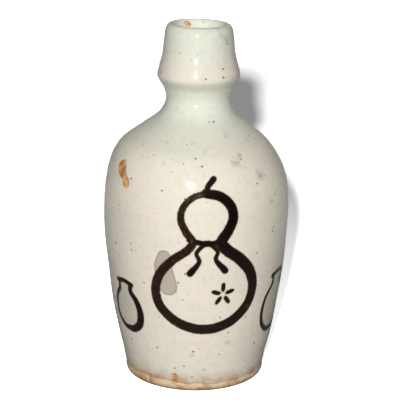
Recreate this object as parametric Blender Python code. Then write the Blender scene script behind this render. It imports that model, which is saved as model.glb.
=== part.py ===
"""Hand-thrown stoneware sake bottle (tokkuri), 165 mm tall, standing on its foot on the XY plane.

The bottle is turned about the Z axis and is built in the layers that it is made in:

    clay_body    the thrown vessel with its floor and turned foot, open at the shoulder
    clay_neck    the collar, mouth and lip, thrown on their own and luted on at the shoulder
    outer_glaze  the coat that the bottle is dipped in, from the foot line to the throat
    inner_glaze  the coat that is poured inside, from the throat to the floor

A profile point is (radius, height). Every profile is walked with the clay on its left: up the
outside, over the lip, down the inside and along the floor to the axis.
"""

import math

import bmesh
import bpy

MM = 0.001

# Driving dimensions
HEIGHT = 165 * MM
FOOT_RADIUS = 32.3 * MM
FOOT_RING_RADIUS = 31.4 * MM
FOOT_RING_INNER_RADIUS = 24 * MM
FOOT_CHAMFER = 1.5 * MM
FOOT_RECESS_RADIUS = 22 * MM
FOOT_RECESS_DEPTH = 2 * MM
FOOT_LINE = 4 * MM          # lower edge of the outer glaze
FLOOR_HEIGHT = 8.5 * MM     # glazed floor inside
LIP_OUTER_WIDTH = 2.6 * MM  # from the outside of the mouth to the crest of the lip
GLAZE = 0.6 * MM
GAP = 0.3 * MM              # slip joint, and the bond between clay and glaze

# Outside of the glaze: (height, radius) where the curve changes
OUTSIDE = [
    (FOOT_LINE, 32.4 * MM),
    (20 * MM, 36.2 * MM),
    (50 * MM, 41.0 * MM),
    (80 * MM, 43.0 * MM),     # belly
    (98 * MM, 40.9 * MM),
    (110 * MM, 34.8 * MM),    # shoulder
    (118 * MM, 25.3 * MM),
    (124 * MM, 18.1 * MM),
    (131 * MM, 14.85 * MM),   # waist of the neck
    (136 * MM, 15.9 * MM),
    (139.5 * MM, 18.0 * MM),
    (141.7 * MM, 18.75 * MM),  # collar
    (146 * MM, 17.9 * MM),
    (153 * MM, 16.3 * MM),
    (160.5 * MM, 15.4 * MM),  # start of the lip
]

# Inside of the glaze
INSIDE = [
    (18 * MM, 29.5 * MM),     # top of the rounded heel
    (50 * MM, 35.4 * MM),
    (80 * MM, 37.4 * MM),
    (98 * MM, 35.2 * MM),
    (108 * MM, 29.6 * MM),
    (114.5 * MM, 21.8 * MM),
    (119 * MM, 15.6 * MM),
    (124 * MM, 11.4 * MM),
    (131 * MM, 9.5 * MM),     # narrowest place of the throat
    (142 * MM, 9.8 * MM),
    (150 * MM, 10.2 * MM),
    (161.5 * MM, 10.9 * MM),  # start of the lip
]

SEAM_OUTSIDE = 118 * MM     # the luted seam crosses the wall at a right angle
SEAM_INSIDE = 114.5 * MM
GLAZE_MEETING = 150 * MM    # where the two coats meet in the throat

SEGMENTS = 40
OUTSIDE_STEPS = 2           # points for each stretch between two stations
INSIDE_STEPS = 1
CORNER_STEPS = 3
WELD = 0.001 * MM

CLAY_COLOUR = (0.48, 0.27, 0.13, 1)
OUTER_GLAZE_COLOUR = (0.74, 0.70, 0.60, 1)
INNER_GLAZE_COLOUR = (0.55, 0.54, 0.47, 1)


def clear_scene():
    for thing in list(bpy.data.objects):
        bpy.data.objects.remove(thing, do_unlink=True)


def slope(stations, index):
    """Change of radius with height at a station, taken between its two neighbours."""
    low = stations[max(index - 1, 0)]
    high = stations[min(index + 1, len(stations) - 1)]
    return (high[1] - low[1]) / (high[0] - low[0])


def radius_at(stations, height):
    """Radius of the smooth curve through the stations, a cubic between each two of them."""
    index = 0
    while index < len(stations) - 2 and height > stations[index + 1][0]:
        index += 1
    low, high = stations[index], stations[index + 1]
    span = high[0] - low[0]
    t = (height - low[0]) / span
    return (
        (2 * t**3 - 3 * t**2 + 1) * low[1]
        + (t**3 - 2 * t**2 + t) * span * slope(stations, index)
        + (3 * t**2 - 2 * t**3) * high[1]
        + (t**3 - t**2) * span * slope(stations, index + 1)
    )


def wall(stations, bottom, top, steps):
    """Profile points from bottom up to top, through every station between them."""
    marks = [bottom] + [height for height, _ in stations if bottom < height < top] + [top]
    heights = [bottom]
    for low, high in zip(marks, marks[1:]):
        heights += [low + (high - low) * step / steps for step in range(1, steps + 1)]
    return [(radius_at(stations, height), height) for height in heights]


def outside(bottom, top=OUTSIDE[-1][0]):
    return wall(OUTSIDE, bottom, top, OUTSIDE_STEPS)


def inside(bottom, top=INSIDE[-1][0]):
    """The inner wall, walked from top down to bottom."""
    return wall(INSIDE, bottom, top, INSIDE_STEPS)[::-1]


def quarter(centre, width, height, start, end):
    """A quarter of an ellipse between two angles in degrees, without its two ends."""
    points = []
    for step in range(1, CORNER_STEPS):
        angle = math.radians(start + (end - start) * step / CORNER_STEPS)
        points.append(
            (centre[0] + width * math.cos(angle), centre[1] + height * math.sin(angle))
        )
    return points


def lip():
    """The rounded lip, steeper outside than inside, between the two walls."""
    outer_height, outer_radius = OUTSIDE[-1]
    inner_height, inner_radius = INSIDE[-1]
    crest = outer_radius - LIP_OUTER_WIDTH
    outer = quarter((crest, outer_height), LIP_OUTER_WIDTH, HEIGHT - outer_height, 0, 90)
    inner = quarter((crest, inner_height), crest - inner_radius, HEIGHT - inner_height, 90, 180)
    return outer + [(crest, HEIGHT)] + inner


def floor():
    """The rounded heel below the inner wall, then the flat floor to the axis."""
    top, radius = INSIDE[0]
    rise = top - FLOOR_HEIGHT
    centre = (radius - rise, top)
    return quarter(centre, rise, rise, 0, -90) + [(radius - rise, FLOOR_HEIGHT), (0, FLOOR_HEIGHT)]


def sunk(path, depth):
    """The path moved by depth into the clay, which is on its left."""
    moved = []
    for index, (radius, height) in enumerate(path):
        before = path[max(index - 1, 0)]
        after = path[min(index + 1, len(path) - 1)]
        normals = []
        for first, second in ((before, (radius, height)), ((radius, height), after)):
            run = math.dist(first, second)
            if run:
                normals.append(
                    ((first[1] - second[1]) / run, (second[0] - first[0]) / run)
                )
        across = sum(normal[0] for normal in normals)
        up = sum(normal[1] for normal in normals)
        size = math.hypot(across, up)
        reach = depth * 2 / size if len(normals) == 2 else depth
        moved.append((radius + across / size * reach, height + up / size * reach))
    return moved


def coat(path):
    """The closed outline of a coat of glaze whose visible face is the path."""
    return path + sunk(path, GLAZE)[::-1]


def turned(name, outline, colour, roughness):
    """A closed outline turned about the Z axis into one solid of its own."""
    mesh = bpy.data.meshes.new(name)
    form = bmesh.new()
    corners = [form.verts.new((radius, 0, height)) for radius, height in outline]
    ends = corners[1:] + corners[:1]
    for first, second in zip(corners, ends):
        if first.co.x > WELD or second.co.x > WELD:
            form.edges.new((first, second))
    bmesh.ops.spin(
        form,
        geom=list(form.verts) + list(form.edges),
        axis=(0, 0, 1),
        angle=2 * math.pi,
        steps=SEGMENTS,
        use_merge=True,
    )
    bmesh.ops.remove_doubles(form, verts=form.verts, dist=WELD)
    bmesh.ops.recalc_face_normals(form, faces=form.faces)
    form.to_mesh(mesh)
    form.free()
    mesh.shade_smooth()
    mesh.set_sharp_from_angle(angle=math.radians(35))

    material = bpy.data.materials.new(name)
    material.use_nodes = True
    shader = material.node_tree.nodes["Principled BSDF"]
    shader.inputs["Base Color"].default_value = colour
    shader.inputs["Roughness"].default_value = roughness
    shader.inputs["Metallic"].default_value = 0
    mesh.materials.append(material)

    piece = bpy.data.objects.new(name, mesh)
    bpy.context.scene.collection.objects.link(piece)
    return piece


def clay_body():
    """Foot, outer wall, seam, inner wall, floor and the recess turned under the foot."""
    below_glaze = FOOT_LINE - GAP
    foot = [
        (FOOT_RING_INNER_RADIUS, 0),
        (FOOT_RING_RADIUS, 0),
        (FOOT_RADIUS, FOOT_CHAMFER),
        (FOOT_RADIUS, below_glaze),
    ]
    outer_wall = sunk(outside(below_glaze, SEAM_OUTSIDE - GAP / 2), GLAZE + GAP)
    inner_wall = sunk(inside(INSIDE[0][0], SEAM_INSIDE - GAP / 2) + floor(), GLAZE + GAP)
    recess = [(0, FOOT_RECESS_DEPTH), (FOOT_RECESS_RADIUS, FOOT_RECESS_DEPTH)]
    return turned("clay_body", foot + outer_wall + inner_wall + recess, CLAY_COLOUR, 0.9)


def clay_neck():
    """Neck, collar, mouth and lip, down to the seam on the shoulder."""
    skin = outside(SEAM_OUTSIDE + GAP / 2) + lip() + inside(SEAM_INSIDE + GAP / 2)
    return turned("clay_neck", sunk(skin, GLAZE + GAP), CLAY_COLOUR, 0.9)


def outer_glaze():
    skin = outside(FOOT_LINE) + lip() + inside(GLAZE_MEETING + GAP / 2)
    return turned("outer_glaze", coat(skin), OUTER_GLAZE_COLOUR, 0.15)


def inner_glaze():
    skin = inside(INSIDE[0][0], GLAZE_MEETING - GAP / 2) + floor()
    return turned("inner_glaze", coat(skin), INNER_GLAZE_COLOUR, 0.2)


clear_scene()
clay_body()
clay_neck()
outer_glaze()
inner_glaze()
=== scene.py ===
"""Looks of the hand-thrown sake bottle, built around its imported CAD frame.

Lengths are metres in the frame's axes: the bottle turns about Z, and -Y is its painted front.
A place on the bottle is an angle and a height. The angle is 0 at the front, and grows towards +X.
The painting is planned flat, as (across, up) in millimetres, and then wrapped round the bottle.
"""

import math

import bpy
import numpy as np
from mathutils import Matrix, Vector


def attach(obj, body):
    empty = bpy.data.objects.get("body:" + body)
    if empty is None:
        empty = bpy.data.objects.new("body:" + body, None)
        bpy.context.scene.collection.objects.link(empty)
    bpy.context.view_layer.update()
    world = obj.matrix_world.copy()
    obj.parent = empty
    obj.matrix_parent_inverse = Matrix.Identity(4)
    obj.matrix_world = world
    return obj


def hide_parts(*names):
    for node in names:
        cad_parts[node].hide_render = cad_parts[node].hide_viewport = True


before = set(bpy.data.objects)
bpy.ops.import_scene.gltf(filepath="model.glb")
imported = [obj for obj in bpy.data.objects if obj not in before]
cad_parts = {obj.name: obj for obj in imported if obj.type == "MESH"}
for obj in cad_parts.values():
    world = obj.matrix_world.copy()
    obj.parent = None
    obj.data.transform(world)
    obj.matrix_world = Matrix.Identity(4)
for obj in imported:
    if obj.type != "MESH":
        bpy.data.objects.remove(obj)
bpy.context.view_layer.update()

MM = 0.001
RANDOM = np.random.default_rng(1603)

# ------------------------------------------------------------------ the turned shape, as in CAD
HEIGHT = 165 * MM
FOOT_LINE = 4 * MM
FOOT_RADIUS = 32.3 * MM
FOOT_RING_RADIUS = 31.4 * MM
FOOT_RING_INNER_RADIUS = 24 * MM
FOOT_RECESS_RADIUS = 22 * MM
FOOT_RECESS_DEPTH = 2 * MM
FOOT_CHAMFER = 1.5 * MM
FLOOR_HEIGHT = 8.5 * MM
LIP_OUTER_WIDTH = 2.6 * MM
SEAM_OUTSIDE = 118 * MM
SEAM_INSIDE = 114.5 * MM
GLAZE_MEETING = 150 * MM
GLAZE = 0.6 * MM
UNDER_GLAZE = GLAZE + 0.03 * MM  # how deep the clay lies
BARE_UNDER_GLAZE = 0.36 * MM     # and by the foot, where the coat is thin

# Outside and inside of the glaze: (height, radius) where the curve changes
OUTSIDE = MM * np.array([
    (4, 32.4), (20, 36.2), (50, 41.0), (80, 43.0), (98, 40.9), (110, 34.8), (118, 25.3),
    (124, 18.1), (131, 14.85), (136, 15.9), (139.5, 18.0), (141.7, 18.75), (146, 17.9),
    (153, 16.3), (160.5, 15.4),
])
INSIDE = MM * np.array([
    (18, 29.5), (50, 35.4), (80, 37.4), (98, 35.2), (108, 29.6), (114.5, 21.8), (119, 15.6),
    (124, 11.4), (131, 9.5), (142, 9.8), (150, 10.2), (161.5, 10.9),
])

# ------------------------------------------------------------------ camera and lights
CAMERA_DISTANCE = 0.625      # from the bottle's axis, measured along the floor
CAMERA_HEIGHT = 0.263
CAMERA_PITCH = math.radians(16.125)
CAMERA_YAW = math.radians(0.16)
CAMERA_ROLL = math.radians(0.8)
LENS_MM = 125.8
SENSOR_MM = 36.0

LIT_HEIGHT = 90 * MM          # the lamps face the bottle's axis at this height
FLASH_DISTANCE = 0.70
FLASH_AZIMUTH = math.radians(2.3)
FLASH_ELEVATION = math.radians(19.0)
FLASH_SIZE = 20 * MM
FLASH_POWER = 11.2
GLINT_AZIMUTH = math.radians(6.5)
GLINT_SIZE = 60 * MM
GLINT_POWER = 1.0
BACK_LAMP_PLACE = (0.08, 1.0, 0.5)
BACK_LAMP_SIZE = 0.5
BACK_LAMP_POWER = 9.0
ROOM_LIGHT = 0.14

# ------------------------------------------------------------------ the visible coats
FOOT_EDGE_HEIGHT = 4.4 * MM  # lower edge of the painted coat, and how far it wanders
FOOT_EDGE_SWING = 0.8 * MM
THROAT_OVERLAP = 1 * MM      # how far each coat runs past the place where the two meet
IOR = 1.5                    # of the glaze, and of the clay's sheen
FLOOR_PINHOLE = 0.05 * MM    # the meshes stop just short of the axis
RECESS_PINHOLE = 0.02 * MM

# Steps round the bottle, in radians
PAINTED_STEP = 0.0175
BACK_STEP = 0.035
INNER_STEP = 0.045
BODY_STEP = 0.03
NECK_STEP = 0.06


# ------------------------------------------------------------------ profiles
def smooth(stations, heights):
    """Radii of the smooth curve through the stations, a cubic between each two of them."""
    levels, radii = stations[:, 0], stations[:, 1]
    slopes = np.empty(len(stations))
    slopes[1:-1] = (radii[2:] - radii[:-2]) / (levels[2:] - levels[:-2])
    slopes[0] = (radii[1] - radii[0]) / (levels[1] - levels[0])
    slopes[-1] = (radii[-1] - radii[-2]) / (levels[-1] - levels[-2])
    low = np.clip(np.searchsorted(levels, heights) - 1, 0, len(stations) - 2)
    span = levels[low + 1] - levels[low]
    t = (heights - levels[low]) / span
    return (
        (2 * t**3 - 3 * t**2 + 1) * radii[low]
        + (t**3 - 2 * t**2 + t) * span * slopes[low]
        + (3 * t**2 - 2 * t**3) * radii[low + 1]
        + (t**3 - t**2) * span * slopes[low + 1]
    )


def wall(stations, start, end):
    """Profile points (radius, height) a tenth of a millimetre apart, from start to end."""
    heights = np.linspace(start, end, int(abs(end - start) / (0.1 * MM)) + 2)
    return np.column_stack([smooth(stations, heights), heights])


def ellipse(centre, width, height, start, end, steps=40):
    angles = np.radians(np.linspace(start, end, steps))
    return np.column_stack(
        [centre[0] + width * np.cos(angles), centre[1] + height * np.sin(angles)]
    )


def lip():
    outer_height, outer_radius = OUTSIDE[-1]
    inner_height, inner_radius = INSIDE[-1]
    crest = outer_radius - LIP_OUTER_WIDTH
    outer = ellipse((crest, outer_height), LIP_OUTER_WIDTH, HEIGHT - outer_height, 0, 90)
    inner = ellipse((crest, inner_height), crest - inner_radius, HEIGHT - inner_height, 90, 180)
    return np.vstack([outer[1:], inner[1:-1]])


def floor_path():
    """The rounded heel below the inner wall, and the flat floor to the axis."""
    top, radius = INSIDE[0]
    rise = top - FLOOR_HEIGHT
    heel = ellipse((radius - rise, top), rise, rise, 0, -90)
    flat = [(r, FLOOR_HEIGHT) for r in np.linspace(radius - rise, FLOOR_PINHOLE, 30)]
    return np.vstack([heel[1:], flat[1:]])


def resampled(path, spacing):
    """The path with new points, spacing(height) apart."""
    middles = (path[1:, 1] + path[:-1, 1]) / 2
    weight = np.linalg.norm(np.diff(path, axis=0), axis=1) / spacing(middles)
    place_along = np.concatenate([[0], np.cumsum(weight)])
    marks = np.linspace(0, place_along[-1], int(round(place_along[-1])) + 1)
    return np.column_stack([np.interp(marks, place_along, path[:, axis]) for axis in (0, 1)])


def sunk(path, depth):
    """The path moved by depth into the clay, which is on its left."""
    along = np.gradient(path, axis=0)
    along /= np.linalg.norm(along, axis=1)[:, None]
    return path + np.column_stack([-along[:, 1], along[:, 0]]) * np.reshape(depth, (-1, 1))


def bump(value, centre, width):
    return np.exp(-(((value - centre) / width) ** 2))


def rise(value, low, high):
    """0 below low millimetres and 1 above high ones, smooth between them."""
    t = np.clip((value / MM - low) / (high - low), 0, 1)
    return t * t * (3 - 2 * t)


# ------------------------------------------------------------------ the potter's hand
def waves(count, most_turns, lengths):
    """Waves that run round and up the bottle: whole turns, length upwards and start."""
    return [
        (RANDOM.integers(0, most_turns + 1), RANDOM.uniform(*lengths), RANDOM.uniform(0, 6.28))
        for _ in range(count)
    ]


def ripple(parts, angle, height):
    """The sum of some waves, mostly within -1 and 1."""
    total = 0
    for turns, length, start in parts:
        total = total + np.sin(turns * angle + 2 * math.pi * height / length + start)
    return total / len(parts) ** 0.5


UNEVEN = waves(5, 3, (28 * MM, 60 * MM))
FOOT_EDGE = waves(3, 5, (200 * MM, 300 * MM)) + waves(4, 19, (200 * MM, 300 * MM))


def place(angle, radius, height):
    """Points in space of places on the bottle, a little uneven, as the hand left them."""
    grooves = 0.02 * MM * np.sin(2 * math.pi * height / (6.3 * MM) + angle)
    uneven = 0.13 * MM * ripple(UNEVEN, angle, height)
    oval = 0.16 * MM * np.cos(2 * angle + 0.6)
    neck_ring = -0.2 * MM * np.cos(2 * math.pi * (height - 150 * MM) / (18 * MM))
    neck_ring = neck_ring * bump(height, 151 * MM, 10 * MM) + 0.15 * MM * rise(height, 130, 136)
    spread_foot = 0.45 * MM * bump(height, 0, 8 * MM)
    fade = np.clip(radius / (20 * MM), 0, 1) * np.clip(height / (12 * MM), 0.1, 1)
    radius = radius + (grooves + uneven + oval + neck_ring) * fade
    radius = radius + spread_foot * np.clip(radius / (20 * MM), 0, 1)
    sideways = 0.4 * MM * rise(height, 118, 128) - 1.1 * MM * bump(height, 110 * MM, 9 * MM)
    up = -0.3 * MM * np.sin(angle + 0.4) * bump(height, HEIGHT, 12 * MM)
    return np.stack(
        [radius * np.sin(angle) + sideways, -radius * np.cos(angle), height + up], axis=-1
    )


def angles_round(front_step, back_step):
    """Angles once round the bottle, with one step over the painted front and one behind."""
    front = math.radians(100)
    ahead = np.linspace(-front, front, int(2 * front / front_step) + 1)
    behind = np.linspace(front, 2 * math.pi - front, int((2 * math.pi - 2 * front) / back_step))
    return np.concatenate([ahead, behind[1:-1]])


def turned(name, points, material):
    """A closed mesh over points[row, column], round both the rows and the columns."""
    rows, columns = points.shape[:2]
    corner = np.arange(rows * columns).reshape(rows, columns)
    above = np.roll(corner, -1, axis=0)
    faces = np.stack(
        [corner, np.roll(corner, -1, axis=1), np.roll(above, -1, axis=1), above], axis=-1
    )
    mesh = bpy.data.meshes.new(name)
    mesh.from_pydata(points.reshape(-1, 3), [], faces.reshape(-1, 4).tolist())
    mesh.shade_smooth()
    mesh.materials.append(material)
    piece = bpy.data.objects.new(name, mesh)
    bpy.context.scene.collection.objects.link(piece)
    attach(piece, "root")
    return piece


# ------------------------------------------------------------------ painting with a brush
FAR = 4.0                    # millimetres, beyond which a brush mark has no effect
PLAN_RADIUS = 42.0           # the flat plan is wrapped at this radius, in millimetres


def flowing(points, steps=14):
    """A smooth line through given points, with steps between each two of them."""
    points = np.array(points, float)
    ends = np.vstack([2 * points[0] - points[1], points, 2 * points[-1] - points[-2]])
    line = []
    for a, b, c, d in zip(ends, ends[1:], ends[2:], ends[3:]):
        for t in np.arange(steps) / steps:
            bend = (c - a) * t + (2 * a - 5 * b + 4 * c - d) * t**2 + (3 * b - a - 3 * c + d) * t**3
            line.append(b + 0.5 * bend)
    line.append(points[-1])
    return np.array(line)


class Marks:
    """What one kind of brush mark covers, kept as attributes on the points of a skin.

    edge is the distance from the mark's edge in millimetres, and is negative inside it. along
    and across say where in its stroke a point lies, and load how full the brush was there.
    """

    def __init__(self, points, angle, height):
        self.points = points
        self.angle = angle
        self.height = height
        self.edge = np.full(len(points), FAR)
        self.along = np.zeros(len(points))
        self.across = np.zeros(len(points))
        self.load = np.ones(len(points))

    def stroke(self, plan, load=(1.0, 1.0)):
        """Adds a stroke through (across, up, width) points of the flat plan."""
        line = flowing(plan)
        height = line[:, 1] * MM
        self.wrapped(line[:, 0] / PLAN_RADIUS, smooth(OUTSIDE, height), height, line[:, 2], load)

    def wrapped(self, angle, radius, height, width, load=(1.0, 1.0)):
        """Adds a stroke through places on the bottle, width millimetres wide.

        load is how full the brush is at the stroke's start and at its end.
        """
        centre = place(angle, radius, height) / MM
        length = np.concatenate([[0], np.cumsum(np.linalg.norm(np.diff(centre, axis=0), axis=1))])
        forward = np.gradient(centre, axis=0)
        forward /= np.linalg.norm(forward, axis=1)[:, None]
        reach = FAR * MM + width.max() * MM
        middle = angle.mean()
        turn = (self.angle - middle + math.pi) % (2 * math.pi) - math.pi
        near = np.nonzero(
            (self.height > height.min() - reach)
            & (self.height < height.max() + reach)
            & (abs(turn) < np.ptp(angle) / 2 + abs(angle - middle).max() + reach / radius.min())
        )[0]
        for chunk in np.array_split(near, len(near) // 4000 + 1):
            offset = self.points[chunk][:, None] / MM - centre[None]
            slide = np.clip((offset * forward).sum(axis=2), -0.6, 0.6)
            distance = np.linalg.norm(offset - slide[..., None] * forward, axis=2) - width / 2
            nearest = distance.argmin(axis=1)
            rows = np.arange(len(chunk))
            closer = distance[rows, nearest] < self.edge[chunk]
            kept, index, rows = chunk[closer], nearest[closer], rows[closer]
            side = np.cross(forward[index], self.points[kept] * [1, 1, 0])
            side /= np.linalg.norm(side, axis=1)[:, None]
            self.edge[kept] = distance[rows, index]
            self.along[kept] = length[index] + slide[rows, index]
            self.across[kept] = (offset[rows, index] * side).sum(axis=1)
            self.load[kept] = load[0] + (load[1] - load[0]) * index / len(angle)


def keep(mesh, name, values, elsewhere):
    """Stores values for the first points of a mesh, and elsewhere for its hidden points."""
    full = np.full(len(mesh.vertices), elsewhere, np.float32)
    full[: len(values)] = values
    mesh.attributes.new(name, "FLOAT", "POINT").data.foreach_set("value", full)


# Half of a gourd's outline, from its stem to its base: (up, half width)
GOURD = [
    (97, 0), (95.5, 6), (91, 10.5), (85.5, 11.5), (80, 9.2), (75.5, 6.4), (71.5, 8.6), (66.5, 15),
    (59.5, 21), (51.5, 23.5), (43.5, 21.5), (37, 14.5), (33.8, 6.5), (33, 0),
]
GOURD_AXIS = 5.0
BLOSSOM = (13.0, 50.0, 3.4)  # centre and radius


def paint_gourd(ink, wash):
    """The main motif: a plain gourd, tied at its waist, with one stroke all the way round."""
    wash.stroke([(-14, 67, 6.5), (-14.5, 62.5, 8.5), (-13.5, 57.5, 9.2), (-12.5, 54, 8.4)])
    right = [(GOURD_AXIS + half, up) for up, half in GOURD]
    left = [(GOURD_AXIS - half, up) for up, half in reversed(GOURD)]
    outline = right + left[1:]
    widths = np.interp(np.linspace(0, 1, len(outline)), [0, 0.25, 0.6, 1], [4.2, 5.4, 4.8, 2.6])
    ink.stroke([(*point, width) for point, width in zip(outline, widths)], (1.02, 0.78))

    ink.stroke([(5, 97, 3.0), (5.6, 100, 2.4), (8.2, 102.6, 2.8)])
    ink.stroke([(-2.5, 76.4, 2.2), (5, 74.6, 2.6), (12.5, 76.0, 2.2)])
    ink.stroke([(4, 74.8, 2.2), (0.5, 70.5, 1.8), (1.5, 66, 2.0), (-2, 61, 3.2)])
    ink.stroke([(6, 74.8, 2.2), (9.5, 71, 1.8), (9, 67, 2.0), (13, 62, 3.2)])

    centre_across, centre_up, radius = BLOSSOM
    for turn in np.radians(np.arange(5) * 72):
        across, up = math.sin(turn), math.cos(turn)
        ink.stroke([
            (centre_across + across * reach, centre_up + up * reach, width)
            for reach, width in ((0.7 * radius, 1.3), (radius, 2.1), (1.3 * radius, 1.5))
        ])


# Half of a jar's outline, from its mouth to the middle of its base: (up, half width)
JAR = [(23.2, 4.4), (20.2, 4.6), (16.2, 8.0), (10.7, 9.8), (5.0, 8.8), (1.4, 4.6), (0.7, 0)]

# Where the jars stand in the flat plan: (centre, base, size, how full the wash is)
JARS = [(-38.0, 27.0, 0.97, 0.48), (49.6, 24.6, 1.18, 0.45)]


def paint_jar(ink, wash, centre, base, size, wash_load):
    """A small jar beside the gourd: one round stroke, its rim, and a grey wash inside."""
    def at(across, up, width):
        return (centre + across * size, base + up * size, width)

    inside = [at(0, 20.5, 7), at(0, 14.5, 12), at(0, 9.5, 17.5), at(0, 8.0, 15)]
    wash.stroke(inside, (wash_load, wash_load))
    left = [(-half, up) for up, half in JAR]
    right = [(half, up) for up, half in reversed(JAR)]
    outline = left + right[1:]
    widths = np.interp(np.linspace(0, 1, len(outline)), [0, 0.4, 0.7, 1], [2.0, 2.4, 4.2, 2.4])
    ink.stroke([at(*point, width) for point, width in zip(outline, widths)], (0.85, 1.0))
    ink.stroke([at(-5, 24.2, 2.4), at(0, 25.0, 2.2), at(5, 24.2, 2.4)])


def leave_bare(bare):
    """Where the coat missed the clay: a finger mark, a chip at the foot, a spot in the lip."""
    finger = [(-42.0, 103.2, 6.2), (-40.4, 101.4, 4.6), (-38.0, 99.4, 3.8), (-36.4, 97.8, 4.6)]
    chip = [(-11.2, 7.6, 2.4), (-10.4, 6.0, 3.8), (-10.0, 4.2, 4.4)]
    bare.stroke(finger)
    bare.stroke(chip)
    bare.wrapped(
        np.radians([-154.0, -151.0, -148.0]),
        np.full(3, 11.0 * MM),
        np.array([162.6, 163.0, 163.2]) * MM,
        np.array([1.6, 2.4, 1.8]),
        (0.92, 0.92),
    )


# ------------------------------------------------------------------ materials
def screen(red, green, blue):
    """A colour from the 0 to 255 values that a screen shows."""
    return tuple((value / 255) ** 2.2 for value in (red, green, blue)) + (1.0,)


def grey(value):
    return (value, value, value, 1.0)


class Shader:
    """Writes the nodes of one material."""

    def __init__(self, name):
        self.material = bpy.data.materials.new(name)
        self.material.use_nodes = True
        self.nodes = self.material.node_tree.nodes
        self.links = self.material.node_tree.links
        self.nodes.clear()
        self.place = self.node("ShaderNodeTexCoord").outputs["Object"]
        self.axes = self.node("ShaderNodeSeparateXYZ", {0: self.place}).outputs
        self.height = self.axes["Z"]

    def node(self, kind, inputs=(), **settings):
        """A new node. inputs gives a value or another node's socket for each of its sockets."""
        node = self.nodes.new(kind)
        for name, setting in settings.items():
            setattr(node, name, setting)
        for name, value in dict(inputs).items():
            if isinstance(value, bpy.types.NodeSocket):
                self.links.new(value, node.inputs[name])
            else:
                node.inputs[name].default_value = value
        return node

    def math(self, operation, first, second=0.0):
        node = self.node("ShaderNodeMath", {0: first, 1: second}, operation=operation)
        return node.outputs[0]

    def add(self, *values):
        total = values[0]
        for value in values[1:]:
            total = self.math("ADD", total, value)
        return total

    def times(self, *values):
        total = values[0]
        for value in values[1:]:
            total = self.math("MULTIPLY", total, value)
        return total

    def ramp(self, value, low, high, start=0.0, end=1.0):
        """start where the value is below low, end where it is above high, smooth between."""
        node = self.node(
            "ShaderNodeMapRange",
            {"Value": value, "From Min": low, "From Max": high, "To Min": start, "To Max": end},
            interpolation_type="SMOOTHSTEP",
        )
        return node.outputs["Result"]

    def mix(self, share, first, second):
        """The first colour, with a share of the second one mixed in."""
        node = self.node("ShaderNodeMix", {0: share, 6: first, 7: second}, data_type="RGBA")
        return node.outputs[2]

    def noise(self, size, detail=2.0, where=None):
        """Cloudy noise, about 0.25 to 0.75, with lumps of the given size in metres."""
        node = self.node(
            "ShaderNodeTexNoise",
            {"Vector": where or self.place, "Scale": 1 / size, "Detail": detail},
        )
        return node.outputs[0]

    def specks(self, cell, size, share, softness=0.15):
        """1 inside round specks. A share of the cells of that width hold one, up to that size."""
        ragged = self.node(
            "ShaderNodeTexNoise", {"Vector": self.place, "Scale": 1 / size, "Detail": 1.0}
        )
        push = self.node(
            "ShaderNodeVectorMath",
            {0: ragged.outputs["Color"], "Scale": 0.7 * size},
            operation="SCALE",
        )
        where = self.node("ShaderNodeVectorMath", {0: self.place, 1: push.outputs[0]})
        cells = self.node(
            "ShaderNodeTexVoronoi", {"Vector": where.outputs[0], "Scale": 1 / cell}
        )
        chance = self.node("ShaderNodeSeparateColor", {0: cells.outputs["Color"]}).outputs[0]
        radius = self.ramp(chance, 1 - share, 1 - share / 3, 0.0, size / cell / 2)
        inside = self.math("SUBTRACT", radius, cells.outputs["Distance"])
        return self.ramp(inside, 0.0, softness * size / cell)

    def spot(self, across, up, size, core=0.3):
        """1 inside a round spot on the outside, placed in millimetres of the flat plan."""
        height = up * MM
        centre = place(across / PLAN_RADIUS, smooth(OUTSIDE, height), height)
        away = self.node(
            "ShaderNodeVectorMath", {0: self.place, 1: tuple(centre)}, operation="DISTANCE"
        )
        return self.ramp(away.outputs["Value"], core * size * MM, 0.6 * size * MM, 1.0, 0.0)

    def attribute(self, name):
        return self.node("ShaderNodeAttribute", attribute_name=name).outputs["Fac"]

    def finish(self, colour, roughness, height):
        """Ends the material. height is the surface's own relief in metres."""
        bump = self.node("ShaderNodeBump", {"Height": height, "Distance": 1.0})
        skin = self.node(
            "ShaderNodeBsdfPrincipled",
            {
                "Base Color": colour,
                "Roughness": roughness,
                "IOR": IOR,
                "Normal": bump.outputs[0],
            },
        )
        self.node("ShaderNodeOutputMaterial", {"Surface": skin.outputs[0]})
        return self.material


def clay_colours(shader):
    """Fired stoneware: orange tan, browner in patches, with dark grit and pale slip."""
    patches = shader.noise(9 * MM, 3.0)
    grain = shader.noise(0.9 * MM, 2.0)
    colour = shader.mix(
        shader.ramp(patches, 0.35, 0.65), screen(204, 172, 138), screen(180, 138, 100)
    )
    colour = shader.mix(shader.ramp(grain, 0.35, 0.7, 0.0, 0.4), colour, screen(136, 92, 58))
    pale = shader.times(shader.ramp(shader.noise(5 * MM, 3.0), 0.42, 0.60), 0.75)
    colour = shader.mix(pale, colour, screen(212, 194, 166))
    grit = shader.specks(2.6 * MM, 0.5 * MM, 0.35)
    return shader.mix(shader.times(grit, 0.7), colour, screen(84, 56, 38))


def bare_clay():
    shader = Shader("bare_clay")
    colour = clay_colours(shader)
    # Darker towards the foot's resting edge and underneath: wear, and painted shade where the foot
    # meets the floor.
    worn_and_contact_shade = shader.ramp(shader.height, 0.6 * MM, 2.8 * MM, 0.62, 0.0)
    colour = shader.mix(worn_and_contact_shade, colour, screen(108, 80, 56))
    relief = shader.add(
        shader.times(shader.noise(0.7 * MM, 3.0), 0.16 * MM),
        shader.times(shader.noise(4 * MM, 1.0), 0.2 * MM),
    )
    return shader.finish(colour, shader.ramp(shader.noise(6 * MM), 0.3, 0.7, 0.75, 0.92), relief)


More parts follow.
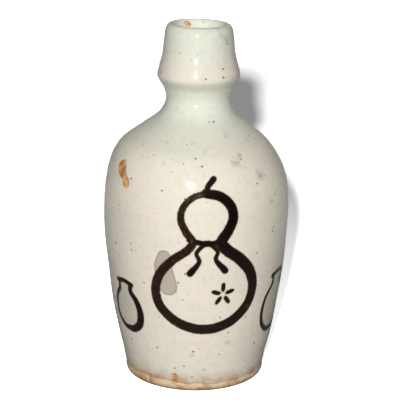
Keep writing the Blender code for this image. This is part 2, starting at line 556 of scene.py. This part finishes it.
def glaze_colours(shader):
    """Feldspar glaze: cream on the body, greener where it lies thick on neck and shoulder, with a
    band of painted shade on the collar's lower face.
    """
    clouds = shader.noise(30 * MM, 3.0)
    level = shader.add(shader.height, shader.times(clouds, 26 * MM))
    cream = shader.mix(
        shader.ramp(shader.noise(17 * MM, 3.0), 0.38, 0.62),
        screen(222, 216, 200),
        screen(226, 216, 201),
    )
    green = screen(216, 217, 202)
    colour = shader.mix(shader.ramp(level, 120 * MM, 136 * MM), cream, green)
    nearly_level = shader.add(shader.height, shader.times(clouds, 8 * MM))
    collar = shader.times(
        shader.ramp(nearly_level, 144.5 * MM, 147.5 * MM),
        shader.ramp(nearly_level, 150 * MM, 158 * MM, 1.0, 0.0),
    )
    colour = shader.mix(shader.times(collar, 0.6), colour, screen(228, 213, 200))
    # Painted shade: a darker, greener band on the collar's lower face, which turns away from the
    # flash.
    collar_underside_shade = shader.times(
        shader.ramp(nearly_level, 139.5 * MM, 143.5 * MM),
        shader.ramp(nearly_level, 144.5 * MM, 147 * MM, 1.0, 0.0),
    )
    colour = shader.mix(shader.times(collar_underside_shade, 0.5), colour, screen(182, 188, 170))
    mottle = shader.noise(2.6 * MM, 4.0)
    return shader.mix(shader.ramp(mottle, 0.45, 0.75, 0.0, 0.35), colour, screen(198, 196, 176))


def with_specks(shader, colour):
    """Iron from the clay, come up through the glaze, and small dark pinholes."""
    for cell, size, share, strength, tint in (
        (4.0 * MM, 1.3 * MM, 0.20, 0.80, screen(86, 78, 64)),
        (2.6 * MM, 0.9 * MM, 0.25, 0.55, screen(118, 112, 96)),
        (1.5 * MM, 0.5 * MM, 0.30, 0.45, screen(128, 118, 98)),
    ):
        colour = shader.mix(shader.times(shader.specks(cell, size, share), strength), colour, tint)
    return colour


# Single marks of this bottle: (across, up, size) in the flat plan
SMOKE_PATCHES = [
    (22.5, 109, 7.0), (26.5, 111, 5.0), (34.5, 102.5, 7.5), (24, 118.5, 4.5), (37, 160, 6.0),
    (29, 162, 4.0), (-1.5, 19.5, 3.2), (5.5, 11.5, 2.6), (17.5, 25, 3.6), (38, 90, 4.0),
]
IRON_SPECKS = [
    (-15.5, 97.4, 1.0), (3.8, 108.0, 1.1), (40.2, 77.0, 1.0), (39.6, 75.6, 1.0),
    (-7.6, 55.9, 1.0), (26.5, 36.6, 0.9), (30.5, 99.0, 1.0), (-24.5, 53.5, 0.9),
    (26.0, 109.4, 0.9), (-31.0, 71.0, 0.9), (12.4, 64.4, 0.8), (-5.6, 47.6, 0.8),
    (38.0, 157.6, 0.8), (12, 123.5, 0.8),
]


def with_blemishes(shader, colour):
    """The marks that this one bottle has: single iron specks, and grey smoke on the shoulder."""
    smoke = shader.specks(6 * MM, 4 * MM, 0.5, 0.6)
    smoke = shader.times(smoke, shader.ramp(shader.height, 98 * MM, 106 * MM), 0.42)
    colour = shader.mix(smoke, colour, screen(168, 166, 150))
    mottle = shader.ramp(shader.noise(2.4 * MM, 2.0), 0.4, 0.65, 0.2, 0.6)
    for across, up, size in SMOKE_PATCHES:
        patch = shader.times(shader.spot(across, up, size, 0.0), mottle)
        colour = shader.mix(patch, colour, screen(138, 136, 118))
    for across, up, size in IRON_SPECKS:
        speck = shader.times(shader.spot(across, up, size), 0.8)
        colour = shader.mix(speck, colour, screen(70, 62, 48))
    return colour


def glaze_relief(shader):
    peel = shader.times(shader.noise(3.4 * MM, 1.0), 0.030 * MM)
    pores = shader.times(shader.specks(3.0 * MM, 0.35 * MM, 0.3), -0.05 * MM)
    return shader.add(peel, pores)


def with_foot_edge(shader, colour):
    """The thin, patchy lower edge of the coat, with the clay showing through, and darker and greyer
    just above it.
    """
    wander = shader.times(shader.noise(5 * MM, 3.0), 6.0)
    edge_level = shader.add(shader.attribute("above_edge"), wander, -3.1)
    # Darker and greyer for a few millimetres above the coat's lower edge.
    darker_near_edge = shader.ramp(edge_level, 2.0, 8.0, 0.42, 0.0)
    colour = shader.mix(darker_near_edge, colour, screen(166, 156, 136))
    through = shader.ramp(edge_level, -0.3, 3.4, 0.78, 0.0)
    return shader.mix(through, colour, clay_colours(shader))


def with_wash(shader, colour, ragged):
    """Grey wash, darker at its rim, and pinker where more of it was laid."""
    edge = shader.add(shader.attribute("wash_edge"), shader.times(ragged, 0.7), -0.35)
    load = shader.attribute("wash_load")
    washed = shader.times(shader.ramp(edge, -0.15, 0.15, 1.0, 0.0), load)
    rim = shader.ramp(edge, -1.0, -0.2, 0.72, 0.95)
    pinker = shader.times(
        shader.ramp(shader.noise(5 * MM), 0.3, 0.7), shader.ramp(load, 0.6, 0.9), 0.8
    )
    tint = shader.mix(pinker, screen(149, 147, 130), screen(163, 142, 128))
    return shader.mix(shader.times(washed, rim), colour, tint)


def with_ink(shader, colour):
    """Iron brushwork, browner where the brush ran thin. Also gives how well the ink covers."""
    blur = shader.times(shader.noise(0.9 * MM, 3.0), 0.5)
    edge = shader.add(shader.attribute("ink_edge"), blur, -0.25)
    load = shader.attribute("ink_load")
    hair_place = shader.node(
        "ShaderNodeCombineXYZ",
        {
            0: shader.times(shader.attribute("ink_across"), 0.9 * MM),
            1: shader.times(shader.attribute("ink_along"), 0.25 * MM),
        },
    )
    hairs = shader.noise(0.9 * MM, 1.0, hair_place.outputs[0])
    covered = shader.ramp(edge, -0.12, 0.12, 1.0, 0.0)
    full = shader.ramp(shader.add(hairs, load), 0.95, 1.35)
    thick = shader.times(shader.ramp(edge, -0.9, -0.1, 1.0, 0.25), full)
    deep = shader.mix(shader.ramp(load, 0.86, 1.0), screen(38, 27, 17), screen(18, 12, 7))
    iron = shader.mix(thick, screen(60, 43, 28), deep)
    inked = shader.times(covered, shader.ramp(full, 0.0, 0.8, 0.86, 1.0))
    halo = shader.ramp(edge, 0.0, 0.8, 0.22, 0.0)
    colour = shader.mix(halo, colour, screen(120, 108, 92))
    return shader.mix(inked, colour, iron), inked


def with_bare_marks(shader, colour, ragged):
    """Toasted clay where the coat missed it. Also gives how bare the clay is."""
    edge = shader.add(shader.attribute("bare_edge"), shader.times(ragged, 0.9), -0.45)
    bare = shader.times(shader.ramp(edge, -0.3, 0.2, 1.0, 0.0), shader.attribute("bare_load"))
    patches = shader.ramp(shader.noise(3 * MM, 3.0), 0.4, 0.6)
    toasted = shader.mix(patches, screen(212, 164, 116), screen(170, 116, 74))
    return shader.mix(bare, colour, toasted), bare


def painted_glaze():
    shader = Shader("painted_glaze")
    ragged = shader.noise(1.6 * MM, 3.0)
    colour = with_blemishes(shader, with_specks(shader, glaze_colours(shader)))
    colour = with_foot_edge(shader, colour)
    colour = with_wash(shader, colour, ragged)
    colour, inked = with_ink(shader, colour)
    colour, bare = with_bare_marks(shader, colour, ragged)
    relief = shader.add(
        glaze_relief(shader),
        shader.times(inked, 0.02 * MM),
        shader.times(bare, -0.18 * MM),
        shader.times(bare, shader.noise(0.6 * MM, 2.0), 0.1 * MM),
    )
    gloss = shader.ramp(shader.noise(8 * MM, 3.0), 0.3, 0.7, 0.17, 0.24)
    roughness = shader.add(gloss, shader.times(bare, 0.6), shader.times(inked, 0.08))
    return shader.finish(colour, roughness, relief)


def plain_glaze():
    shader = Shader("plain_glaze")
    colour = with_specks(shader, glaze_colours(shader))
    gloss = shader.ramp(shader.noise(8 * MM), 0.3, 0.7, 0.12, 0.25)
    return shader.finish(colour, gloss, glaze_relief(shader))


# ------------------------------------------------------------------ the pieces
def outer_skin():
    """Profile of the outer coat, from the foot line over the lip into the throat."""
    return np.vstack([
        wall(OUTSIDE, FOOT_LINE, OUTSIDE[-1, 0]),
        lip(),
        wall(INSIDE, INSIDE[-1, 0], GLAZE_MEETING - THROAT_OVERLAP),
    ])


def paint(mesh, points, angles, heights):
    """Paints the first points of a mesh, and keeps the marks on it for its material."""
    ink, wash, bare = (Marks(points, angles, heights) for _ in range(3))
    paint_gourd(ink, wash)
    for jar in JARS:
        paint_jar(ink, wash, *jar)
    leave_bare(bare)
    for part, rest in (("edge", FAR), ("along", 0), ("across", 0), ("load", 1)):
        keep(mesh, f"ink_{part}", getattr(ink, part), rest)
    for name, marks in (("wash", wash), ("bare", bare)):
        keep(mesh, f"{name}_edge", marks.edge, FAR)
        keep(mesh, f"{name}_load", marks.load, 1)


def outer_coat():
    """The painted coat, with its rounded and wavy lower edge."""
    angle = angles_round(PAINTED_STEP, BACK_STEP)[None, :]
    front = resampled(outer_skin(), lambda level: np.where(level < 7 * MM, 0.35, 0.75) * MM)
    back = resampled(outer_skin(), lambda level: 4 * MM)
    run = np.concatenate([[0], np.cumsum(np.linalg.norm(np.diff(front, axis=0), axis=1))])
    front = sunk(front, 0.2 * MM * np.exp(-run / (0.35 * MM)))
    path = np.vstack([front, sunk(back, GLAZE)[::-1]])
    radius, height = path[:, :1], path[:, 1:]

    low = np.clip(1 - (height - FOOT_LINE) / (10 * MM), 0, 1)
    edge = FOOT_EDGE_HEIGHT - FOOT_LINE + FOOT_EDGE_SWING * ripple(FOOT_EDGE, angle, 0)
    moved = height + low * edge
    before = smooth(OUTSIDE, np.maximum(height, FOOT_LINE))
    after = smooth(OUTSIDE, np.maximum(moved, FOOT_LINE))
    shift = np.where(low > 0, after - before, 0)
    points = place(angle, radius + shift, moved)
    piece = turned("outer_coat", points, painted_glaze())

    rows = len(front)
    angles = np.broadcast_to(angle, (rows, angle.shape[1])).ravel()
    paint(piece.data, points[:rows].reshape(-1, 3), angles, moved[:rows].ravel())
    above = (moved - FOOT_LINE - edge)[:rows] / MM
    keep(piece.data, "above_edge", np.clip(above, 0, 20).ravel(), 20)
    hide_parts("outer_glaze")


def inner_coat():
    """The coat poured inside, which starts beneath the end of the outer one."""
    skin = np.vstack([wall(INSIDE, GLAZE_MEETING + THROAT_OVERLAP, INSIDE[0, 0]), floor_path()])
    front = sunk(resampled(skin, lambda level: 1.4 * MM), 0.12 * MM)
    back = sunk(resampled(skin, lambda level: 4 * MM), GLAZE)[::-1]
    path = np.vstack([front, back])
    angle = angles_round(INNER_STEP, INNER_STEP)[None, :]
    piece = turned("inner_coat", place(angle, path[:, :1], path[:, 1:]), plain_glaze())
    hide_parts("inner_glaze")


def under_glaze(path):
    """The clay below a path of the glaze, closer to it by the bare foot."""
    depth = np.interp(path[:, 1], [FOOT_LINE, 14 * MM], [BARE_UNDER_GLAZE, UNDER_GLAZE])
    return sunk(path, depth)


def thrown_body(material):
    """Foot, walls and floor of clay, and the recess turned under the foot."""
    foot = np.array([
        (RECESS_PINHOLE, FOOT_RECESS_DEPTH),
        (FOOT_RECESS_RADIUS - 0.4 * MM, FOOT_RECESS_DEPTH),
        (FOOT_RECESS_RADIUS, FOOT_RECESS_DEPTH - 0.3 * MM),
        (FOOT_RING_INNER_RADIUS - 0.4 * MM, 0.3 * MM),
        (FOOT_RING_INNER_RADIUS + 0.3 * MM, 0),
        (FOOT_RING_RADIUS - 0.4 * MM, 0),
        (FOOT_RING_RADIUS + 0.3 * MM, 0.4 * MM),
        (FOOT_RADIUS - 0.1 * MM, FOOT_CHAMFER),
        (FOOT_RADIUS - 0.05 * MM, FOOT_LINE - 1.2 * MM),
    ])
    outer = under_glaze(wall(OUTSIDE, FOOT_LINE, SEAM_OUTSIDE))
    inner = sunk(
        np.vstack([wall(INSIDE, SEAM_INSIDE, INSIDE[0, 0]), floor_path()]), UNDER_GLAZE
    )
    path = resampled(
        np.vstack([foot, outer, inner]), lambda level: np.where(level < 7 * MM, 0.5, 3.0) * MM
    )
    angle = angles_round(BODY_STEP, BODY_STEP)[None, :]
    piece = turned("thrown_body", place(angle, path[:, :1], path[:, 1:]), material)
    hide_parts("clay_body")


def thrown_neck(material):
    """The clay of neck, collar and lip, all of it under the glaze."""
    skin = np.vstack([
        wall(OUTSIDE, SEAM_OUTSIDE, OUTSIDE[-1, 0]),
        lip(),
        wall(INSIDE, INSIDE[-1, 0], SEAM_INSIDE),
    ])
    path = sunk(resampled(skin, lambda level: 1.5 * MM), UNDER_GLAZE)
    angle = angles_round(NECK_STEP, NECK_STEP)[None, :]
    piece = turned("thrown_neck", place(angle, path[:, :1], path[:, 1:]), material)
    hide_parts("clay_neck")


# ------------------------------------------------------------------ stage, lights and camera
FLOOR_HALF_SIDE = 4.0


def floor_colour(shader):
    """Nearly white to the camera. Greyer in what it throws back, darkest in front."""
    path = shader.node("ShaderNodeLightPath").outputs
    pale = shader.mix(shader.noise(0.4, 2.0), grey(1.9), grey(1.95))
    behind = shader.ramp(shader.axes["Y"], 0.0, 0.25)
    mirrored = shader.mix(behind, grey(0.18), grey(0.8))
    colour = shader.mix(path["Is Diffuse Ray"], mirrored, (0.24, 0.235, 0.225, 1))
    return shader.mix(path["Is Camera Ray"], colour, pale)


def floor_glow(shader):
    """Light that only the camera sees. It softens the shadow, and evens out the far floor."""
    seen = shader.node("ShaderNodeLightPath").outputs["Is Camera Ray"]
    length = shader.node("ShaderNodeVectorMath", {0: shader.place}, operation="LENGTH")
    distance = length.outputs["Value"]
    near = shader.ramp(distance, 0.08, 0.46, 0.74, 0.17)
    far = shader.ramp(distance, 0.75, 1.2)
    beside = shader.ramp(shader.math("ABSOLUTE", shader.axes["X"]), 0.2, 0.45)
    behind_flash = shader.ramp(shader.axes["Y"], -0.45, -0.15, 1.0, 0.0)
    return shader.times(seen, shader.add(near, far, beside, behind_flash))


def floor():
    """A plain pale floor. It is shaded as if it faced the flash, so that it is evenly lit."""
    shader = Shader("floor")
    towards_flash = shader.node("ShaderNodeCombineXYZ", {0: 0.0, 1: -0.985, 2: 0.17})
    surface = shader.node(
        "ShaderNodeBsdfDiffuse",
        {"Color": floor_colour(shader), "Normal": towards_flash.outputs[0]},
    )
    light = shader.node("ShaderNodeEmission", {"Strength": floor_glow(shader)})
    both = shader.node("ShaderNodeAddShader", {0: surface.outputs[0], 1: light.outputs[0]})
    shader.node("ShaderNodeOutputMaterial", {"Surface": both.outputs[0]})

    mesh = bpy.data.meshes.new("floor")
    half = FLOOR_HALF_SIDE
    mesh.from_pydata(
        [(-half, -half, 0), (half, -half, 0), (half, half, 0), (-half, half, 0)], [], [(0, 1, 2, 3)]
    )
    mesh.materials.append(shader.material)
    plane = bpy.data.objects.new("floor", mesh)
    bpy.context.scene.collection.objects.link(plane)


def lamp(name, position, size, power, steady=True, glints=False):
    """A round lamp. A steady one is as bright far away as near.

    A lamp either lights the surfaces or only glints in their gloss.
    """
    light = bpy.data.lights.new(name, "AREA")
    light.shape = "DISK"
    light.size = size
    light.energy = power
    if steady:
        light.use_nodes = True
        nodes, links = light.node_tree.nodes, light.node_tree.links
        falloff = nodes.new("ShaderNodeLightFalloff")
        falloff.inputs["Strength"].default_value = 1.0
        links.new(falloff.outputs["Constant"], nodes["Emission"].inputs["Strength"])
    holder = bpy.data.objects.new(name, light)
    holder.location = position
    holder.visible_glossy = glints
    holder.visible_diffuse = not glints
    towards = Vector((0, 0, LIT_HEIGHT)) - Vector(position)
    holder.rotation_euler = towards.to_track_quat("-Z", "Y").to_euler()
    bpy.context.scene.collection.objects.link(holder)


def flash_place(azimuth):
    along = FLASH_DISTANCE * math.cos(FLASH_ELEVATION)
    return (
        -along * math.sin(azimuth),
        -along * math.cos(azimuth),
        LIT_HEIGHT + FLASH_DISTANCE * math.sin(FLASH_ELEVATION),
    )


def lights():
    """A flash beside the lens, its glint in the gloss, a lamp behind, and an even room."""
    lamp("flash", flash_place(FLASH_AZIMUTH), FLASH_SIZE, FLASH_POWER)
    lamp("glint", flash_place(GLINT_AZIMUTH), GLINT_SIZE, GLINT_POWER, glints=True)
    lamp("back", BACK_LAMP_PLACE, BACK_LAMP_SIZE, BACK_LAMP_POWER, steady=False)

    world = bpy.data.worlds.new("room")
    world.use_nodes = True
    nodes, links = world.node_tree.nodes, world.node_tree.links
    seen = nodes.new("ShaderNodeLightPath").outputs["Is Camera Ray"]
    tone = nodes.new("ShaderNodeMix")
    tone.data_type = "RGBA"
    tone.inputs[6].default_value = grey(ROOM_LIGHT)
    tone.inputs[7].default_value = grey(1.0)
    links.new(seen, tone.inputs[0])
    links.new(tone.outputs[2], nodes["Background"].inputs["Color"])
    bpy.context.scene.world = world


def camera():
    lens = bpy.data.cameras.new("camera")
    lens.lens = LENS_MM
    lens.sensor_width = SENSOR_MM
    view = bpy.data.objects.new("camera", lens)
    view.matrix_world = (
        Matrix.Translation((0, -CAMERA_DISTANCE, CAMERA_HEIGHT))
        @ Matrix.Rotation(-CAMERA_YAW, 4, "Z")
        @ Matrix.Rotation(math.pi / 2 - CAMERA_PITCH, 4, "X")
        @ Matrix.Rotation(CAMERA_ROLL, 4, "Z")
    )
    bpy.context.scene.collection.objects.link(view)
    bpy.context.scene.camera = view


outer_coat()
inner_coat()
clay = bare_clay()
thrown_body(clay)
thrown_neck(clay)
floor()
lights()
camera()
bpy.context.scene.view_settings.view_transform = "Standard"
